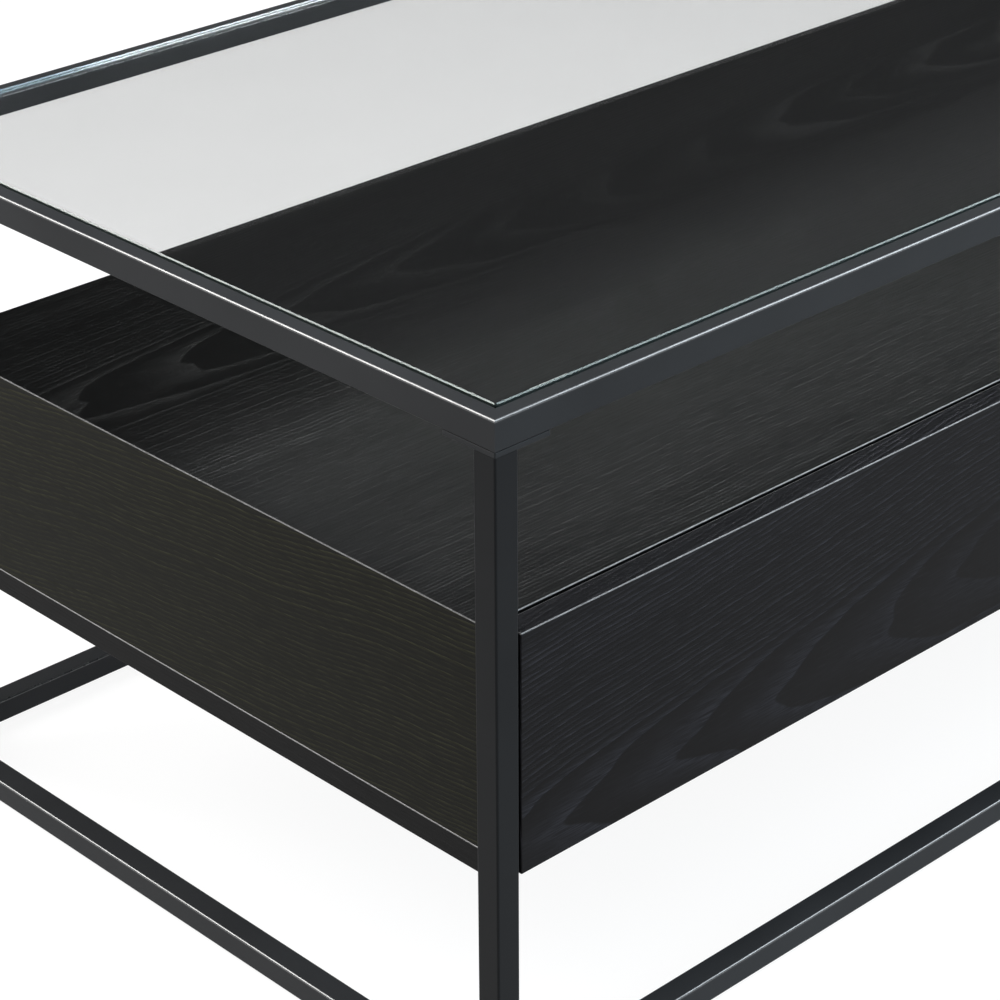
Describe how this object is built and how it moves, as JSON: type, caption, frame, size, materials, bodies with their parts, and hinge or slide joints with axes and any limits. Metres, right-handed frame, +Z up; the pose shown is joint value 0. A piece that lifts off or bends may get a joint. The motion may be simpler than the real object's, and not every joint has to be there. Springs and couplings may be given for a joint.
{
  "type": "coffee table",
  "caption": "Low rectangular table: black square-tube frame, clear inset glass top, and a hung dark wooden box with push-to-open drawers.",
  "frame": {"origin": "on the floor, under the middle of the table", "axes": "+Z up, +X along the length, the drawers open towards -Y"},
  "size_m": [1.1, 0.56, 0.4375],
  "materials": {
    "frame_black": "satin powder coat",
    "top_glass": "clear float glass, ground and polished edge",
    "pad_clear": "clear silicone",
    "ash_black": "black-stained open-grain ash veneer, matt lacquer",
    "drawer_wood": "dark foil-faced board",
    "slide_zinc": "zinc plated",
    "black_plastic": "moulded",
    "grey_plastic": "moulded"
  },
  "bodies": {
    "table": {"top_rail_front": "frame_black", "top_rail_right": "frame_black", "top_rail_rear": "frame_black", "top_rail_left": "frame_black", "base_rail_front": "frame_black", "base_rail_right": "frame_black", "base_rail_rear": "frame_black", "base_rail_left": "frame_black", "leg_front_left": "frame_black", "leg_plate_front_left": "frame_black", "glide_front_left": "black_plastic", "leg_front_right": "frame_black", "leg_plate_front_right": "frame_black", "glide_front_right": "black_plastic", "leg_rear_right": "frame_black", "leg_plate_rear_right": "frame_black", "glide_rear_right": "black_plastic", "leg_rear_left": "frame_black", "leg_plate_rear_left": "frame_black", "glide_rear_left": "black_plastic", "glass_top": "top_glass", "glass_pad_front_left": "pad_clear", "glass_pad_front_right": "pad_clear", "glass_pad_rear_right": "pad_clear", "glass_pad_rear_left": "pad_clear", "box_top": "ash_black", "box_bottom": "ash_black", "box_end_left": "ash_black", "box_end_right": "ash_black", "box_back": "ash_black", "box_divider": "ash_black", "carrier_left": "frame_black", "carrier_right": "frame_black", "slide_left_outer_fixed": "slide_zinc", "slide_left_inner_fixed": "slide_zinc", "latch_left_body": "grey_plastic", "slide_right_outer_fixed": "slide_zinc", "slide_right_inner_fixed": "slide_zinc", "latch_right_body": "grey_plastic"},
    "drawer_left": {"drawer_left_front": "ash_black", "drawer_left_side_outer": "drawer_wood", "drawer_left_side_inner": "drawer_wood", "drawer_left_back": "drawer_wood", "drawer_left_floor": "drawer_wood", "slide_left_outer_drawer": "slide_zinc", "slide_left_inner_drawer": "slide_zinc"},
    "slide_middles_left": {"slide_left_outer_middle": "slide_zinc", "slide_left_inner_middle": "slide_zinc"},
    "plunger_left": {"latch_left_plunger": "black_plastic"},
    "drawer_right": {"drawer_right_front": "ash_black", "drawer_right_side_outer": "drawer_wood", "drawer_right_side_inner": "drawer_wood", "drawer_right_back": "drawer_wood", "drawer_right_floor": "drawer_wood", "slide_right_outer_drawer": "slide_zinc", "slide_right_inner_drawer": "slide_zinc"},
    "slide_middles_right": {"slide_right_outer_middle": "slide_zinc", "slide_right_inner_middle": "slide_zinc"},
    "plunger_right": {"latch_right_plunger": "black_plastic"}
  },
  "joints": [
    {"name": "drawer_left_slide", "type": "slide", "parent": "table", "child": "drawer_left", "axis": [0, -1, 0], "range_m": [-0.002, 0.35]},
    {"name": "slide_middles_left_travel", "type": "slide", "parent": "table", "child": "slide_middles_left", "axis": [0, -1, 0], "range_m": [-0.001, 0.175]},
    {"name": "plunger_left_travel", "type": "slide", "parent": "table", "child": "plunger_left", "axis": [0, -1, 0], "range_m": [-0.0001, 0.014]},
    {"name": "drawer_right_slide", "type": "slide", "parent": "table", "child": "drawer_right", "axis": [0, -1, 0], "range_m": [-0.002, 0.35]},
    {"name": "slide_middles_right_travel", "type": "slide", "parent": "table", "child": "slide_middles_right", "axis": [0, -1, 0], "range_m": [-0.001, 0.175]},
    {"name": "plunger_right_travel", "type": "slide", "parent": "table", "child": "plunger_right", "axis": [0, -1, 0], "range_m": [-0.0001, 0.014]}
  ],
  "couplings": [
    {"joint": "slide_middles_left_travel", "follows": "drawer_left_slide", "ratio": 0.5},
    {"joint": "plunger_left_travel", "follows": "drawer_left_slide", "ratio": 0.04},
    {"joint": "slide_middles_right_travel", "follows": "drawer_right_slide", "ratio": 0.5},
    {"joint": "plunger_right_travel", "follows": "drawer_right_slide", "ratio": 0.04}
  ]
}
